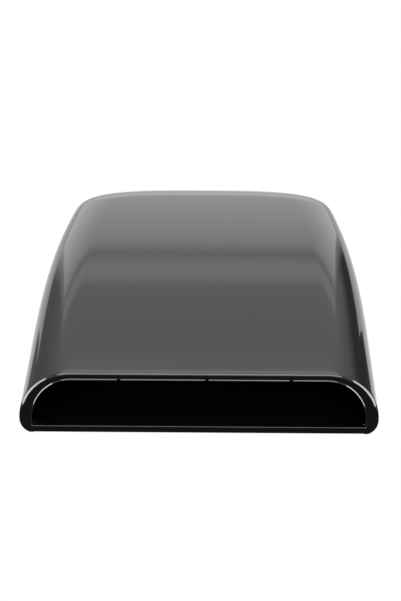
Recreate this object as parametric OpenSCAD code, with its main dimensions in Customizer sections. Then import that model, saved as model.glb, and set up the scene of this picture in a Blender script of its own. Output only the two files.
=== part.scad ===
// Decorative stick-on hood vent: a glossy moulded cowl with a wide D-shaped mouth,
// a floor pan that closes it below, and the foam tapes that hold it on a hood.
// X runs across the vent, +Y runs from the mouth to the tail, Z = 0 is the hood's surface.
// Sizes along Y are worked out from the mouth, and the whole is centred at the end.

/* [Cowl] */
// Width of the cowl at its widest line
cowl_w = 245; // [220:5:280]
// Length of the cowl, mouth to tail
cowl_l = 350; // [300:5:380]
// Height of the roof at the mouth
cowl_h = 41; // [36:1:48]
// Fall of the roof from mouth to tail
roof_fall = 24.5; // [20:0.5:27]
// Height of the widest line above the hood
waist_h = 9; // [7:0.5:10]
// How far the wall tucks in below the widest line
tuck_in = 7; // [6:0.5:10]
// Width of the roll between wall and roof, at the mouth
roll_front = 36; // [28:1:40]
// Width of the roll between wall and roof, at the tail
roll_rear = 30; // [20:1:34]
// Thickness of the moulded wall
wall = 2; // [1.6:0.1:2.4]
// How far each side draws in before the tail
draw_in = 23; // [16:1:28]

/* [Mouth] */
// How far the top of the mouth leans back behind its foot
mouth_lean = 10; // [4:1:14]
// Width of the flat band beside the mouth
band_side = 9; // [8.4:0.1:10]
// Width of the flat band above the mouth
band_top = 4.8; // [4:0.1:6]
// Radius of the lip's outer edge
lip_r = 2.4; // [1.5:0.1:3]
// Depth of the lip, front to back
lip_depth = 6; // [5:0.5:8]

/* [Floor pan] */
// Thickness of the floor pan
pan_t = 2; // [1.6:0.1:2.6]
// Height of the sill across the bottom of the mouth
sill_h = 5; // [4.4:0.2:6]
// Thickness of the sill, front to back
sill_t = 4; // [3:0.5:6]
// Clearance between the pan and the cowl
pan_gap = 0.15; // [0.1:0.05:0.3]

/* [Tape] */
// Width of the foam tape
tape_w = 12; // [8:1:16]
// Thickness of the foam tape, pressed home
tape_t = 1; // [0.8:0.1:1.2]
// Distance of the tape from the pan's edge
tape_inset = 3; // [2:0.5:6]

/* [Hidden] */
half_w = cowl_w / 2;
roof_slope = 0.02;        // steady part of the roof's fall
roof_power = 2.3;         // how late the rest of the fall comes
roll_power = 2.05;        // squareness of the roll from wall to roof
tail_l = 46;              // length of the rounded tail
tail_power = 3.3;         // squareness of the tail's plan
side_steps = 15;
tail_steps = 14;
lip_steps = 4;
tuck_steps = 5;
roll_steps = 12;
roof_steps = 3;
foot_wall = 2.2;          // thickness of the cowl's foot
pan_rest = tuck_in - 1;          // distance of the pan's edge inside the widest line

// Height of the roof's middle at a distance from the mouth
function roof_z(y) = let (s = max(y, 0) / cowl_l)
    cowl_h - roof_slope * max(y, 0) - (roof_fall - roof_slope * cowl_l) * pow(s, roof_power);

// Half of the plan's width before the tail closes it
function side_x(y) = half_w - draw_in * pow(max(0, (y - 90) / (cowl_l - 90)), 2.6);

// Plan points from the mouth along the side and round the tail to its middle
tail_y = cowl_l - tail_l;
function tail_pt(a) = let (y = tail_y + tail_l * pow(sin(a), 2 / tail_power))
    [a > 89.99 ? 0 : side_x(y) * pow(1 - pow((y - tail_y) / tail_l, tail_power), 1 / tail_power), y];
side_line = [for (i = [0 : side_steps]) let (y = lip_r + (tail_y - lip_r) * i / side_steps) [side_x(y), y]];
tail_line = [for (i = [1 : tail_steps]) tail_pt(90 * i / tail_steps)];
plan_line = concat(side_line, tail_line);
plan_n = len(plan_line);

// Inward direction at each plan point
function inward(i) = i == 0 ? [-1, 0]
    : i == plan_n - 1 ? [0, -1]
    : let (d = plan_line[i + 1] - plan_line[i - 1], u = d / norm(d)) [-u[1], u[0]];

// Width of the roll at a distance from the mouth
function roll_w(y) = let (s = min(max(y, 0) / cowl_l, 1)) roll_front + (roll_rear - roll_front) * s * s;

// Share of the full height reached at a share of the roll's width
function roll_share(s) = pow(1 - pow(1 - s, roll_power), 1 / roll_power);

// Backward lean of the mouth at a height, fading out along the cowl
function lean(y, z) = mouth_lean * z / cowl_h * pow(max(0, 1 - y / 110), 1.5);

// One line of the skin at a plan point: foot, tuck, roll and roof, inset at side and top
function skin(p, n, side, top, foot) = let (
    out = p + n * side,
    roll = roll_w(p[1]) - side,
    core = out + n * roll,
    under = p + n * foot,
    pts = concat(
        [for (j = [0 : tuck_steps]) let (a = 90 * j / tuck_steps, q = out + (under - out) * (1 - sin(a)))
            [q[0], q[1], waist_h * (1 - cos(a))]],
        [for (j = [1 : roll_steps]) let (s = 1 - cos(90 * j / roll_steps), q = out + n * roll * s)
            [q[0], q[1], waist_h + (roof_z(q[1]) - top - waist_h) * roll_share(s)]],
        [for (j = [1 : roof_steps]) let (s = 1 - j / roof_steps) [core[0] * s, core[1], roof_z(core[1]) - top]]))
    [for (q = pts) [abs(q[0]) < 0.001 ? 0 : max(q[0], 0), q[1] + lean(q[1], q[2]), q[2]]];

// Outer skin: from the lip's rear edge round the front band and back to the tail
lip_line = [for (k = [0 : lip_steps - 1]) let (a = 90 * k / lip_steps)
    [lip_r * (1 - sin(a)), lip_r * (1 - cos(a))]];
outer = concat(
    [skin([half_w, lip_depth], [-1, 0], band_side, band_top, tuck_in + foot_wall + 0.6)],
    [skin([half_w, 0], [-1, 0], band_side, band_top, tuck_in + foot_wall + 0.6)],
    [for (c = lip_line) skin([half_w, c[1]], [-1, 0], c[0], c[0], tuck_in + c[0] * 0.3)],
    [for (i = [0 : plan_n - 1]) skin(plan_line[i], inward(i), 0, 0, tuck_in)]);

// Inner skin: from the lip's rear face back to the tail
inner_first = [for (i = [0 : plan_n - 1]) if (plan_line[i][1] > lip_depth + 1) i][0];
inner = concat(
    [skin([half_w, lip_depth], [-1, 0], wall, wall, tuck_in + foot_wall)],
    [for (i = [inner_first : plan_n - 1]) skin(plan_line[i], inward(i), wall, wall, tuck_in + foot_wall)]);

across = len(outer[0]);
rows_o = len(outer);
rows_i = len(inner);

// The two skins, mirrored and joined into one closed wall
module cowl_wall() {
    right = concat([for (r = outer) each r], [for (r = inner) each r]);
    base_i = rows_o * across;
    total = len(right);
    // Left points are mirrored, those on the middle plane are shared
    left_of = [for (q = right) q[0] == 0 ? 0 : 1];
    left_count = [for (k = 0, s = 0; k < total; s = s + left_of[k], k = k + 1) s];
    left = [for (q = right) if (q[0] != 0) [-q[0], q[1], q[2]]];
    function at(k, m) = m == 0 || left_of[k] == 0 ? k : total + left_count[k];
    function quad(a, b, c, d, m) = m == 0 ? [a, b, c, d] : [at(d, 1), at(c, 1), at(b, 1), at(a, 1)];
    function tris(q) = [for (t = [[q[0], q[1], q[2]], [q[0], q[2], q[3]]])
        if (t[0] != t[1] && t[1] != t[2] && t[2] != t[0]) t];
    quads = concat(
        [for (m = [0, 1], i = [0 : rows_o - 2], j = [0 : across - 2])
            quad(i * across + j, i * across + j + 1, (i + 1) * across + j + 1, (i + 1) * across + j, m)],
        [for (m = [0, 1], i = [0 : rows_i - 2], j = [0 : across - 2])
            quad(base_i + (i + 1) * across + j, base_i + (i + 1) * across + j + 1,
                base_i + i * across + j + 1, base_i + i * across + j, m)],
        // Rear face of the lip, between the first rows of the two skins
        [for (m = [0, 1], j = [0 : across - 2])
            quad(base_i + j, base_i + j + 1, j + 1, j, m)]);
    // Bottom of the foot, between the two skins' first points
    foot_o = [for (i = [0 : rows_o - 1]) i * across];
    foot_i = [for (i = [0 : rows_i - 1]) base_i + i * across];
    skip = rows_o - plan_n + inner_first;
    foot_quads = [for (m = [0, 1], i = [1 : rows_i - 2])
        quad(foot_i[i], foot_o[skip + i - 1], foot_o[skip + i], foot_i[i + 1], m)];
    front_ring = concat([for (i = [0 : skip]) foot_o[i]], [foot_i[1], foot_i[0]]);
    polyhedron(points = concat(right, left),
        faces = concat(
            [for (q = quads) each tris(q)],
            [for (q = foot_quads) each tris(q)],
            [front_ring],
            [[for (k = [len(front_ring) - 1 : -1 : 0]) at(front_ring[k], 1)]]));
}

// Glossy outer cowl
module cowl() {
    color("#0c0c0e") cowl_wall();
}

// Outline of the pan, inside the cowl's foot
pan_side = [for (i = [0 : plan_n - 1]) let (q = plan_line[i] + inward(i) * (pan_rest + pan_gap))
    [max(q[0], 0), q[1]]];
pan_front_w = half_w - tuck_in - foot_wall - 0.6 - pan_gap;
pan_line = concat([[pan_front_w, 0], [pan_front_w, lip_depth + 2]],
    [for (q = pan_side) if (q[1] > lip_depth + 3) q]);
function both(line) = concat(line, [for (k = [len(line) - 1 : -1 : 0]) if (line[k][0] > 0.001)
    [-line[k][0], line[k][1]]]);

// Floor pan with its sill across the mouth
module floor_pan() {
    color("#17181a") {
        translate([0, 0, tape_t]) linear_extrude(pan_t) polygon(both(pan_line));
        translate([-pan_front_w, 0, 0]) cube([2 * pan_front_w, sill_t, sill_h]);
    }
}

// A strip of tape along one side of the pan
tape_start = sill_t + tape_inset;
tape_end = tail_y - 10;
module tape_side() {
    run = [for (q = pan_side) if (q[1] > tape_start && q[1] < tape_end) q];
    edge = concat([[pan_front_w - 0.6, tape_start]], run);
    linear_extrude(tape_t) polygon(concat(
        [for (q = edge) [q[0] - tape_inset, q[1]]],
        [for (k = [len(edge) - 1 : -1 : 0]) [edge[k][0] - tape_inset - tape_w, edge[k][1]]]));
}

module tape_right() {
    color("#202020") tape_side();
}

module tape_left() {
    color("#202020") mirror([1, 0, 0]) tape_side();
}

// A strip of tape across the tail
module tape_rear() {
    color("#202020") translate([-60, cowl_l - tuck_in - foot_wall - tape_inset - tape_w - 6, 0])
        cube([120, tape_w, tape_t]);
}

// Everything is moved back so that the origin is under the middle of the vent
module placed() {
    translate([0, -cowl_l / 2, 0]) children();
}

placed() cowl();
placed() floor_pan();
placed() tape_left();
placed() tape_right();
placed() tape_rear();
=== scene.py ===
"""Decorative hood vent: looks, stage and camera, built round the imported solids."""

from math import cos, pi, radians, sin

import bmesh
import bpy
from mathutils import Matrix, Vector


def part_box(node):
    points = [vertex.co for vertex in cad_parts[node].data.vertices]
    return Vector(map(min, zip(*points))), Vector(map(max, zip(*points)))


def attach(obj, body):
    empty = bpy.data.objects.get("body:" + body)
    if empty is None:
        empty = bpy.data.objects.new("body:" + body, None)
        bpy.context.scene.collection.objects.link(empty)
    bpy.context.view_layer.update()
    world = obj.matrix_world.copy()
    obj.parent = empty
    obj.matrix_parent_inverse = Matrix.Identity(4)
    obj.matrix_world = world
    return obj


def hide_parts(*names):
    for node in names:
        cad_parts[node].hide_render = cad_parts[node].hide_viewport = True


bl_info = {
    "name": "Decorative Hood Vent",
    "version": (1, 0, 0),
    "blender": (4, 5, 0),
    "location": "3D View > Sidebar > Hood Vent",
    "description": "Builds a glossy stick-on hood vent with its floor pan and tapes",
    "category": "Add Mesh",
}

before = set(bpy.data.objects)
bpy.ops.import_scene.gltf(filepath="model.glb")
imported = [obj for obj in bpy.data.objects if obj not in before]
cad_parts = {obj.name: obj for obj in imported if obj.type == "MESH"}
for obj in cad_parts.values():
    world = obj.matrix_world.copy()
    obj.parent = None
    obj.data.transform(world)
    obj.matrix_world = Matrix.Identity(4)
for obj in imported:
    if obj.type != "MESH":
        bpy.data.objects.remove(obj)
LOW, HIGH = (Vector(c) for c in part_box("cowl"))
FRONT = LOW.y


class VentCowlSettings(bpy.types.PropertyGroup):
    """Sizes of the moulded cowl"""

    half_width: bpy.props.FloatProperty(
        name="Half Width", description="Half of the cowl's width at its widest line",
        default=HIGH.x, min=0.05, unit="LENGTH")
    length: bpy.props.FloatProperty(
        name="Length", description="From the mouth to the tail",
        default=HIGH.y - LOW.y, min=0.1, unit="LENGTH")
    height: bpy.props.FloatProperty(
        name="Height", description="Height of the roof at the mouth",
        default=0.041, min=0.02, unit="LENGTH")
    fall: bpy.props.FloatProperty(
        name="Fall", description="How far the roof falls from mouth to tail",
        default=0.0245, min=0.0, unit="LENGTH")
    waist: bpy.props.FloatProperty(
        name="Waist", description="Height of the widest line", default=0.009, min=0.004, unit="LENGTH")
    tuck: bpy.props.FloatProperty(
        name="Tuck", description="How far the wall tucks in below the waist",
        default=0.007, min=0.0, unit="LENGTH")
    wall: bpy.props.FloatProperty(
        name="Wall", description="Thickness of the moulded wall", default=0.002, min=0.001, unit="LENGTH")
    roll_front: bpy.props.FloatProperty(
        name="Front Roll", description="Width of the roll between wall and roof at the mouth",
        default=0.036, min=0.01, unit="LENGTH")
    roll_rear: bpy.props.FloatProperty(
        name="Rear Roll", description="Width of the same roll at the tail",
        default=0.030, min=0.01, unit="LENGTH")
    tail: bpy.props.FloatProperty(
        name="Tail", description="Length of the rounded tail", default=0.046, min=0.01, unit="LENGTH")
    draw_in: bpy.props.FloatProperty(
        name="Draw In", description="How far each side draws in before the tail",
        default=0.023, min=0.0, unit="LENGTH")
    mouth_lean: bpy.props.FloatProperty(
        name="Mouth Lean", description="How far the top of the mouth leans back",
        default=0.010, min=0.0, unit="LENGTH")
    band_side: bpy.props.FloatProperty(
        name="Side Band", description="Width of the front band beside the mouth",
        default=0.009, min=0.003, unit="LENGTH")
    band_top: bpy.props.FloatProperty(
        name="Top Band", description="Width of the front band above the mouth",
        default=0.0048, min=0.002, unit="LENGTH")
    lip: bpy.props.FloatProperty(
        name="Lip Radius", description="Radius of the lip's outer edge above the mouth",
        default=0.0019, min=0.0005, unit="LENGTH")
    lip_side: bpy.props.FloatProperty(
        name="Side Lip Radius", description="Radius of the lip's outer edge beside the mouth",
        default=0.0050, min=0.0005, unit="LENGTH")
    lip_depth: bpy.props.FloatProperty(
        name="Lip Depth", description="Depth of the lip, front to back", default=0.006, min=0.003, unit="LENGTH")


class VentFinishSettings(bpy.types.PropertyGroup):
    """Colours and finish of the mouldings"""

    gloss_color: bpy.props.FloatVectorProperty(
        name="Gloss Black", description="Colour of the cowl's plastic", subtype="COLOR",
        default=(0.005, 0.005, 0.0055), min=0.0, max=1.0)
    pan_color: bpy.props.FloatVectorProperty(
        name="Pan Black", description="Colour of the floor pan's plastic", subtype="COLOR",
        default=(0.004, 0.004, 0.0045), min=0.0, max=1.0)
    tape_color: bpy.props.FloatVectorProperty(
        name="Tape", description="Colour of the foam tape", subtype="COLOR",
        default=(0.030, 0.030, 0.030), min=0.0, max=1.0)
    gloss: bpy.props.FloatProperty(
        name="Roughness", description="Roughness of the glossy plastic", default=0.07, min=0.0, max=1.0)


def collection_link(obj):
    bpy.context.scene.collection.objects.link(obj)
    return obj


def mesh_object(name, verts, faces, smooth=True):
    mesh = bpy.data.meshes.new(name)
    mesh.from_pydata(verts, [], faces)
    mesh.validate()
    mesh.polygons.foreach_set("use_smooth", [smooth] * len(mesh.polygons))
    mesh.update()
    return collection_link(bpy.data.objects.new(name, mesh))


def plastic(name, color, roughness, bump):
    """Moulded plastic with faint waves in its gloss"""
    mat = bpy.data.materials.new(name)
    mat.use_nodes = True
    tree = mat.node_tree
    shader = tree.nodes["Principled BSDF"]
    shader.inputs["Base Color"].default_value = (*color, 1.0)
    shader.inputs["Roughness"].default_value = roughness
    shader.inputs["IOR"].default_value = 1.5
    coords = tree.nodes.new("ShaderNodeTexCoord")
    noise = tree.nodes.new("ShaderNodeTexNoise")
    noise.inputs["Scale"].default_value = 60.0
    noise.inputs["Detail"].default_value = 2.0
    lift = tree.nodes.new("ShaderNodeBump")
    lift.inputs["Strength"].default_value = bump
    lift.inputs["Distance"].default_value = 0.0002
    tree.links.new(coords.outputs["Object"], noise.inputs["Vector"])
    tree.links.new(noise.outputs["Fac"], lift.inputs["Height"])
    tree.links.new(lift.outputs["Normal"], shader.inputs["Normal"])
    return mat


def give(obj, mat):
    obj.data.materials.clear()
    obj.data.materials.append(mat)


class CowlForm:
    """The cowl's rules: its plan, its roof and the roll between them"""

    SIDE_STEPS = 60
    TAIL_STEPS = 44
    TUCK_STEPS = 10
    ROLL_STEPS = 34
    ROOF_STEPS = 10
    LIP_STEPS = 8
    FOOT_WALL = 0.0022
    ROOF_SLOPE = 0.02
    ROOF_POWER = 2.3
    ROLL_POWER = 2.05
    TAIL_POWER = 3.3
    DRAW_START = 0.090
    DRAW_POWER = 2.6
    LEAN_REACH = 0.110
    # Inset from the mouth's inner edge, and place along Y, of the fine ridge that runs round it
    RIDGE = ((0.0, 0.0008), (0.0001, 0.0001), (0.0003, -0.0004), (0.0006, -0.0006),
             (0.0009, -0.0004), (0.0011, 0.0))

    def __init__(self, s):
        self.s = s
        self.tail_y = s.length - s.tail
        self.plan = self.plan_line()

    def roof_z(self, y):
        s = self.s
        y = max(y, 0.0)
        return (s.height - self.ROOF_SLOPE * y
                - (s.fall - self.ROOF_SLOPE * s.length) * (y / s.length) ** self.ROOF_POWER)

    def side_x(self, y):
        s = self.s
        late = max(0.0, (y - self.DRAW_START) / (s.length - self.DRAW_START))
        return s.half_width - s.draw_in * late ** self.DRAW_POWER

    def plan_line(self):
        s = self.s
        line = []
        for i in range(self.SIDE_STEPS + 1):
            y = s.lip + (self.tail_y - s.lip) * i / self.SIDE_STEPS
            line.append(Vector((self.side_x(y), y)))
        for i in range(1, self.TAIL_STEPS + 1):
            a = pi / 2 * i / self.TAIL_STEPS
            share = sin(a) ** (2 / self.TAIL_POWER)
            y = self.tail_y + s.tail * share
            across = (1 - share ** self.TAIL_POWER) ** (1 / self.TAIL_POWER)
            line.append(Vector((0.0 if i == self.TAIL_STEPS else self.side_x(y) * across, y)))
        return line

    def inward(self, i):
        if i == 0:
            return Vector((-1, 0))
        if i == len(self.plan) - 1:
            return Vector((0, -1))
        d = (self.plan[i + 1] - self.plan[i - 1]).normalized()
        return Vector((-d.y, d.x))

    def roll_w(self, y):
        share = min(max(y, 0.0) / self.s.length, 1.0)
        return self.s.roll_front + (self.s.roll_rear - self.s.roll_front) * share ** 2

    def lean(self, y, z):
        s = self.s
        return s.mouth_lean * z / s.height * max(0.0, 1 - y / self.LEAN_REACH) ** 1.5

    def line(self, p, n, side, top, foot):
        """One line of the skin, from its foot up to the middle of the roof"""
        s = self.s
        out = p + n * side
        under = p + n * foot
        roll = self.roll_w(p.y) - side
        pts = []
        for j in range(self.TUCK_STEPS + 1):
            a = pi / 2 * j / self.TUCK_STEPS
            q = out + (under - out) * (1 - sin(a))
            pts.append((q.x, q.y, s.waist * (1 - cos(a))))
        for j in range(1, self.ROLL_STEPS + 1):
            share = 1 - cos(pi / 2 * j / self.ROLL_STEPS)
            q = out + n * roll * share
            rise = (1 - (1 - share) ** self.ROLL_POWER) ** (1 / self.ROLL_POWER)
            pts.append((q.x, q.y, s.waist + (self.roof_z(q.y) - top - s.waist) * rise))
        core = out + n * roll
        for j in range(1, self.ROOF_STEPS + 1):
            share = 1 - j / self.ROOF_STEPS
            pts.append((core.x * share, core.y, self.roof_z(core.y) - top))
        placed = []
        for x, y, z in pts:
            x = 0.0 if abs(x) < 1e-6 else max(x, 0.0)
            placed.append((x, FRONT + y + self.lean(y, z), z))
        return placed

    def skins(self):
        s = self.s
        w = s.half_width
        back = Vector((-1, 0))
        inner_foot = s.tuck + self.FOOT_WALL
        lip_foot = inner_foot + 0.0006
        outer = [self.line(Vector((w, s.lip_depth)), back, s.band_side, s.band_top, lip_foot)]
        for inset, y in self.RIDGE:
            outer.append(self.line(Vector((w, y)), back, s.band_side - inset, s.band_top - inset,
                                   lip_foot - inset * 0.4))
        for k in range(self.LIP_STEPS):
            a = pi / 2 * k / self.LIP_STEPS
            top, side = s.lip * (1 - sin(a)), s.lip_side * (1 - sin(a))
            outer.append(self.line(Vector((w, s.lip * (1 - cos(a)))), back, side, top, s.tuck + top * 0.3))
        outer += [self.line(p, self.inward(i), 0.0, 0.0, s.tuck) for i, p in enumerate(self.plan)]
        inner = [self.line(Vector((w, s.lip_depth)), back, s.wall, s.wall, inner_foot)]
        inner += [self.line(p, self.inward(i), s.wall, s.wall, inner_foot)
                  for i, p in enumerate(self.plan) if p.y > s.lip_depth + 0.001]
        return outer, inner


def build_cowl(settings):
    """Both skins of the cowl, mirrored and joined into one closed wall"""
    outer, inner = CowlForm(settings).skins()
    across = len(outer[0])
    bm = bmesh.new()

    def rows(skin, side):
        return [[bm.verts.new((side * x, y, z)) for x, y, z in row] for row in skin]

    for side in (1, -1):
        out_rows, in_rows = rows(outer, side), rows(inner, side)

        def face(*corners):
            bm.faces.new(corners if side > 0 else corners[::-1])

        for i in range(len(out_rows) - 1):
            a, b = out_rows[i], out_rows[i + 1]
            for j in range(across - 1):
                face(a[j], a[j + 1], b[j + 1], b[j])
        for i in range(len(in_rows) - 1):
            a, b = in_rows[i], in_rows[i + 1]
            for j in range(across - 1):
                face(b[j], b[j + 1], a[j + 1], a[j])
        for j in range(across - 1):
            face(in_rows[0][j], in_rows[0][j + 1], out_rows[0][j + 1], out_rows[0][j])
        skip = len(out_rows) - len(in_rows) + 1
        for i in range(1, len(in_rows) - 1):
            face(in_rows[i][0], out_rows[skip + i - 1][0], out_rows[skip + i][0], in_rows[i + 1][0])
        ring = [out_rows[i][0] for i in range(skip + 1)] + [in_rows[1][0], in_rows[0][0]]
        face(*ring)
    bmesh.ops.remove_doubles(bm, verts=bm.verts, dist=1e-6)
    bmesh.ops.recalc_face_normals(bm, faces=bm.faces)
    mesh = bpy.data.meshes.new("glossy_cowl")
    bm.to_mesh(mesh)
    bm.free()
    mesh.polygons.foreach_set("use_smooth", [True] * len(mesh.polygons))
    mesh.update()
    obj = collection_link(bpy.data.objects.new("glossy_cowl", mesh))
    mesh.set_sharp_from_angle(angle=radians(40))
    cut_notches(obj, settings)
    return obj


# Places of the gate notches across the mouth's upper edge
NOTCHES = (-0.0543, 0.0054, 0.0624)
NOTCH_WIDTH = 0.0024
NOTCH_DEPTH = 0.0014


def cut_notches(obj, s):
    """Cuts the small gate notches into the ridge along the top of the mouth"""
    y = FRONT + s.mouth_lean
    z = s.height - s.band_top
    for x in NOTCHES:
        bm = bmesh.new()
        bmesh.ops.create_cube(bm, size=1.0)
        bmesh.ops.scale(bm, vec=(NOTCH_WIDTH, 0.006, 2 * NOTCH_DEPTH), verts=bm.verts)
        bmesh.ops.translate(bm, vec=(x, y, z), verts=bm.verts)
        mesh = bpy.data.meshes.new("notch")
        bm.to_mesh(mesh)
        bm.free()
        cutter = collection_link(bpy.data.objects.new("notch", mesh))
        cut = obj.modifiers.new("notch", "BOOLEAN")
        cut.operation = "DIFFERENCE"
        cut.solver = "EXACT"
        cut.object = cutter
        bpy.context.view_layer.update()
        result = bpy.data.meshes.new_from_object(obj.evaluated_get(bpy.context.evaluated_depsgraph_get()))
        obj.modifiers.clear()
        old, obj.data = obj.data, result
        bpy.data.meshes.remove(old)
        bpy.data.objects.remove(cutter)


def copy_of_solid(node, name, bevel):
    """A merged copy of a solid with its edges softened"""
    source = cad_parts[node]
    bm = bmesh.new()
    bm.from_mesh(source.data)
    bmesh.ops.remove_doubles(bm, verts=bm.verts, dist=1e-6)
    bmesh.ops.dissolve_limit(bm, angle_limit=radians(1), verts=bm.verts, edges=bm.edges)
    bm.transform(source.matrix_world)
    if bevel:
        edges = [e for e in bm.edges if len(e.link_faces) == 2 and e.calc_face_angle(0) > radians(40)]
        bmesh.ops.bevel(bm, geom=edges, offset=bevel, segments=4, profile=0.5,
                        affect="EDGES", clamp_overlap=True)
    mesh = bpy.data.meshes.new(name)
    bm.to_mesh(mesh)
    bm.free()
    mesh.polygons.foreach_set("use_smooth", [True] * len(mesh.polygons))
    mesh.set_sharp_from_angle(angle=radians(35))
    return collection_link(bpy.data.objects.new(name, mesh))


class OBJECT_OT_vent_cowl(bpy.types.Operator):
    """Builds the moulded cowl"""

    bl_idname = "vent.cowl"
    bl_label = "Cowl"

    def execute(self, context):
        finish = context.scene.vent_finish
        obj = build_cowl(context.scene.vent_cowl)
        give(obj, plastic("Gloss Black", finish.gloss_color, finish.gloss, 0.05))
        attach(obj, "root")
        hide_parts("cowl")
        return {"FINISHED"}


class OBJECT_OT_vent_pan(bpy.types.Operator):
    """Builds the floor pan and its sill"""

    bl_idname = "vent.pan"
    bl_label = "Floor Pan"

    SILL_DEPTH = 0.0045
    SILL_END = 0.006
    GAP_CLOSED = 0.0014

    def meet_lip(self, obj):
        """Moves the sill's ends out until they meet the lip"""
        low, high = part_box("floor_pan")
        for v in obj.data.vertices:
            if v.co.y < low.y + self.SILL_DEPTH and abs(v.co.x) > high.x - self.SILL_END:
                v.co.x += self.GAP_CLOSED if v.co.x > 0 else -self.GAP_CLOSED

    def execute(self, context):
        finish = context.scene.vent_finish
        obj = copy_of_solid("floor_pan", "pan_and_sill", 0.0014)
        self.meet_lip(obj)
        give(obj, plastic("Pan Black", finish.pan_color, finish.gloss, 0.05))
        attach(obj, "root")
        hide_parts("floor_pan")
        return {"FINISHED"}


class OBJECT_OT_vent_tapes(bpy.types.Operator):
    """Builds the foam tapes below the pan"""

    bl_idname = "vent.tapes"
    bl_label = "Foam Tapes"

    def execute(self, context):
        mat = plastic("Foam Tape", context.scene.vent_finish.tape_color, 0.85, 0.4)
        for node in ("tape_left", "tape_right", "tape_rear"):
            obj = copy_of_solid(node, "foam_" + node, 0.0)
            give(obj, mat)
            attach(obj, "root")
            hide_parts(node)
        return {"FINISHED"}


def glow(name, strength):
    mat = bpy.data.materials.new(name)
    mat.use_nodes = True
    tree = mat.node_tree
    tree.nodes.clear()
    out = tree.nodes.new("ShaderNodeOutputMaterial")
    light = tree.nodes.new("ShaderNodeEmission")
    light.inputs["Strength"].default_value = strength
    tree.links.new(light.outputs[0], out.inputs["Surface"])
    return mat


def white_floor(name):
    """White to the camera and in reflections, and plain to the lamps"""
    mat = bpy.data.materials.new(name)
    mat.use_nodes = True
    tree = mat.node_tree
    tree.nodes.clear()
    out = tree.nodes.new("ShaderNodeOutputMaterial")
    light = tree.nodes.new("ShaderNodeEmission")
    light.inputs["Strength"].default_value = 1.0
    plain = tree.nodes.new("ShaderNodeBsdfDiffuse")
    plain.inputs["Color"].default_value = (0.8, 0.8, 0.8, 1)
    path = tree.nodes.new("ShaderNodeLightPath")
    most = tree.nodes.new("ShaderNodeMath")
    most.operation = "MAXIMUM"
    mix = tree.nodes.new("ShaderNodeMixShader")
    tree.links.new(path.outputs["Is Camera Ray"], most.inputs[0])
    tree.links.new(path.outputs["Is Glossy Ray"], most.inputs[1])
    tree.links.new(most.outputs[0], mix.inputs[0])
    tree.links.new(plain.outputs[0], mix.inputs[1])
    tree.links.new(light.outputs[0], mix.inputs[2])
    tree.links.new(mix.outputs[0], out.inputs["Surface"])
    return mat


# Glow at which a ramp's colour reaches white
RAMP_TOP = 8.0


def ramp_glow(name, axis, low, high, stops, also=None):
    """A glow whose strength follows one or two ramps along an axis; the brighter of the two shows"""
    mat = bpy.data.materials.new(name)
    mat.use_nodes = True
    tree = mat.node_tree
    tree.nodes.clear()
    out = tree.nodes.new("ShaderNodeOutputMaterial")
    light = tree.nodes.new("ShaderNodeEmission")
    coords = tree.nodes.new("ShaderNodeTexCoord")
    split = tree.nodes.new("ShaderNodeSeparateXYZ")
    tree.links.new(coords.outputs["Object"], split.inputs[0])

    def ramp(axis, low, high, stops):
        spread = tree.nodes.new("ShaderNodeMapRange")
        spread.inputs["From Min"].default_value = low
        spread.inputs["From Max"].default_value = high
        tree.links.new(split.outputs[axis], spread.inputs["Value"])
        node = tree.nodes.new("ShaderNodeValToRGB")
        points = node.color_ramp.elements
        while len(points) < len(stops):
            points.new(0.5)
        for point, (place, value) in zip(points, stops):
            point.position = (place - low) / (high - low)
            point.color = (value / RAMP_TOP,) * 3 + (1.0,)
        tree.links.new(spread.outputs["Result"], node.inputs["Fac"])
        return node.outputs["Color"]

    color = ramp(axis, low, high, stops)
    if also:
        other = ramp(*also)
        most = tree.nodes.new("ShaderNodeMath")
        most.operation = "MAXIMUM"
        tree.links.new(color, most.inputs[0])
        tree.links.new(other, most.inputs[1])
        color = most.outputs[0]
    light.inputs["Strength"].default_value = RAMP_TOP
    tree.links.new(color, light.inputs["Color"])
    tree.links.new(light.outputs[0], out.inputs["Surface"])
    return mat


def card(name, corners, mat):
    """A card that shows only in the gloss of the mouldings"""
    obj = mesh_object(name, corners, [(0, 1, 2, 3)], False)
    give(obj, mat)
    obj.visible_camera = False
    obj.visible_diffuse = False
    obj.visible_shadow = False
    obj.visible_transmission = False
    return obj


def upright(x0, y0, x1, y1, z0, z1):
    return [(x0, y0, z0), (x1, y1, z0), (x1, y1, z1), (x0, y0, z1)]


def level(x0, x1, y0, y1, z):
    return [(x0, y0, z), (x1, y0, z), (x1, y1, z), (x0, y1, z)]


# Brightness of the backdrop by height, as the roof mirrors it: bright low down, a dark line, a
# brighter band with a crisp upper edge, and a duller zone above
BACKDROP = ((0.00, 1.60), (0.26, 1.60), (0.36, 1.50), (0.455, 1.38), (0.486, 1.10), (0.498, 0.76),
            (0.510, 0.78), (0.526, 1.06), (0.545, 1.25), (0.602, 1.22), (0.608, 0.88), (0.70, 0.90),
            (0.80, 0.95), (0.84, 1.0), (0.88, 1.15), (0.92, 1.4), (1.00, 1.8), (1.20, 2.2))
BACKDROP_Y = 1.5
BACKDROP_X = 0.64
BACKDROP_TOP = 1.2

FLOOR_HALF = 6.0
FLOOR_Z = -0.0005

# Side, name, how far back the card and the dark floor reach, and how dark they are; the dark floor sheet paints
# a dark reflection on the flank where the floor is white
SIDE_CARDS = ((-1, "left", 0.66, 0.34, 0.28), (1, "right", 0.78, 0.40, 0.10))
CARD_X = 0.30
CARD_START = 0.20
CARD_TOP = 0.45
CARD_FADE = 0.12
# Half width of the white floor that the flanks mirror, at the mouth and at its kink further back
SHEET_X = (0.150, 0.170)
SHEET_KINK = 0.19
SOFTBOX_X = 1.2
# How far the dark floor sheets, which paint a dark reflection of a floor that is white to the camera, go under
# the lip, and how high the cards lie over the floor
UNDER = 0.004
LIFT = 0.0003


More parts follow.
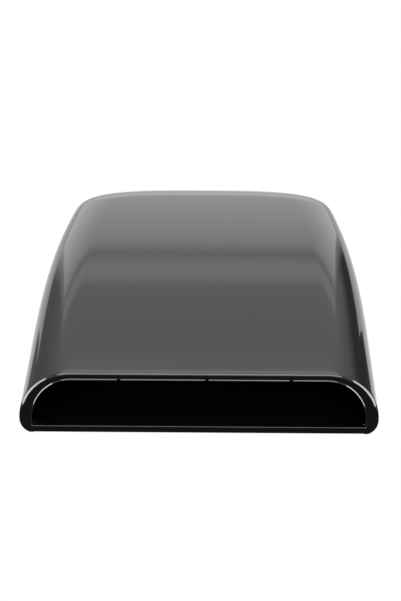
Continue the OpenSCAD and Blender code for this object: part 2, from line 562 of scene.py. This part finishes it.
class OBJECT_OT_vent_stage(bpy.types.Operator):
    """Sets the floor, the cards, the lamps and the camera"""

    bl_idname = "vent.stage"
    bl_label = "Stage"

    ELEVATION = 30.0
    FOCAL_PX = 1700.0
    LONG_SIDE_PX = 601.0
    TURN = 0.7
    REACH = 0.9584
    RISE = 0.6576
    SHIFT = 0.0012

    def execute(self, context):
        scene = context.scene
        world = bpy.data.worlds.new("White Room")
        scene.world = world
        world.use_nodes = True
        world.node_tree.nodes["Background"].inputs["Color"].default_value = (1, 1, 1, 1)
        world.node_tree.nodes["Background"].inputs["Strength"].default_value = 1.0

        floor = mesh_object("floor", level(-FLOOR_HALF, FLOOR_HALF, -FLOOR_HALF, FLOOR_HALF, FLOOR_Z),
                            [(0, 1, 2, 3)], False)
        give(floor, white_floor("White Floor"))

        y = FRONT + BACKDROP_Y
        card("backdrop", upright(-BACKDROP_X, y, BACKDROP_X, y, 0.0, BACKDROP_TOP),
             ramp_glow("Backdrop Glow", "Z", 0.0, BACKDROP_TOP, BACKDROP))
        dark = glow("Dark Room And Painted Floor Reflection", 0.08)
        # Painted dark reflection: a dark sheet on the floor in front, seen only in reflections, where the floor
        # itself is white
        card("floor_painted_dark_reflection", level(-3, 3, FRONT - 3, FRONT + UNDER, LIFT / 3), dark)
        card("dark_room", upright(-3, FRONT - 3, 3, FRONT - 3, 0.0, 2.2), dark)
        card("softbox", level(-0.6, 0.6, FRONT - 0.85, FRONT + 0.35, 1.3), glow("Softbox", 6.0))
        for values in SIDE_CARDS:
            self.side(*values)

        self.camera(scene)
        scene.view_settings.view_transform = "Standard"
        return {"FINISHED"}

    def side(self, side, name, card_end, floor_end, deep):
        """The dark card that one flank mirrors, the dark floor sheet that paints a dark reflection on it where
        the floor is white, and the softbox its corner mirrors
        """
        x = side * CARD_X
        start, end = FRONT + CARD_START, FRONT + card_end
        fade = ((start, deep), (end - CARD_FADE, deep), (end, 1.0))
        rise = ((0.0, deep), (0.08, 1.3 * deep), (0.16, 0.55), (0.28, 0.8), (CARD_TOP, 1.0))
        card(name + "_card", upright(x, start, x, end, LIFT, CARD_TOP),
             ramp_glow(name + "_glow", "Y", start, end, fade, ("Z", 0.0, CARD_TOP, rise)))
        # Painted dark reflection: a dark floor sheet beside the flank, seen only in reflections, where the floor
        # is white
        start, end = FRONT + UNDER, FRONT + floor_end
        edge = [(side * SHEET_X[0], start, LIFT), (side * SHEET_X[1], start + SHEET_KINK, LIFT),
                (x, end, LIFT), (x, start, LIFT)]
        card(name + "_floor", edge[::side],
             ramp_glow(name + "_floor_glow", "Y", start, end, ((start, deep), (end, deep))))
        x = side * SOFTBOX_X
        card(name + "_softbox", upright(x, FRONT - 1.3, x, FRONT + 0.35, 0.08, 1.4),
             glow(name + "_box", 13.0))

    def camera(self, scene):
        data = bpy.data.cameras.new("camera")
        cam = collection_link(bpy.data.objects.new("camera", data))
        data.sensor_fit = "AUTO"
        data.sensor_width = 36.0
        data.lens = self.FOCAL_PX / self.LONG_SIDE_PX * 36.0
        e = radians(self.ELEVATION)
        turn = radians(self.TURN)
        cam.location = (self.REACH * sin(turn) + self.SHIFT, FRONT - self.REACH * cos(turn), self.RISE)
        cam.rotation_euler = (pi / 2 - e, 0.0, turn)
        data.clip_end = 100.0
        scene.camera = cam


class VIEW3D_PT_vent(bpy.types.Panel):
    """Lists the vent's pieces"""

    bl_label = "Hood Vent"
    bl_idname = "VIEW3D_PT_vent"
    bl_space_type = "VIEW_3D"
    bl_region_type = "UI"
    bl_category = "Hood Vent"

    def draw(self, context):
        column = self.layout.column()
        for operator in OPERATORS:
            column.operator(operator.bl_idname)
        for group in (context.scene.vent_cowl, context.scene.vent_finish):
            for name in group.__annotations__:
                column.prop(group, name)


GROUPS = (VentCowlSettings, VentFinishSettings)
OPERATORS = (OBJECT_OT_vent_cowl, OBJECT_OT_vent_pan, OBJECT_OT_vent_tapes, OBJECT_OT_vent_stage)


def register():
    for cls in GROUPS + OPERATORS + (VIEW3D_PT_vent,):
        bpy.utils.register_class(cls)
    bpy.types.Scene.vent_cowl = bpy.props.PointerProperty(type=VentCowlSettings)
    bpy.types.Scene.vent_finish = bpy.props.PointerProperty(type=VentFinishSettings)


def unregister():
    del bpy.types.Scene.vent_finish
    del bpy.types.Scene.vent_cowl
    for cls in reversed(GROUPS + OPERATORS + (VIEW3D_PT_vent,)):
        bpy.utils.unregister_class(cls)


def corners(box):
    return [list(map(float, corner)) for corner in box]


def main():
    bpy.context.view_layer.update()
    register()
    bpy.ops.vent.cowl()
    bpy.ops.vent.pan()
    bpy.ops.vent.tapes()
    bpy.ops.vent.stage()


if __name__ == "__main__":
    main()
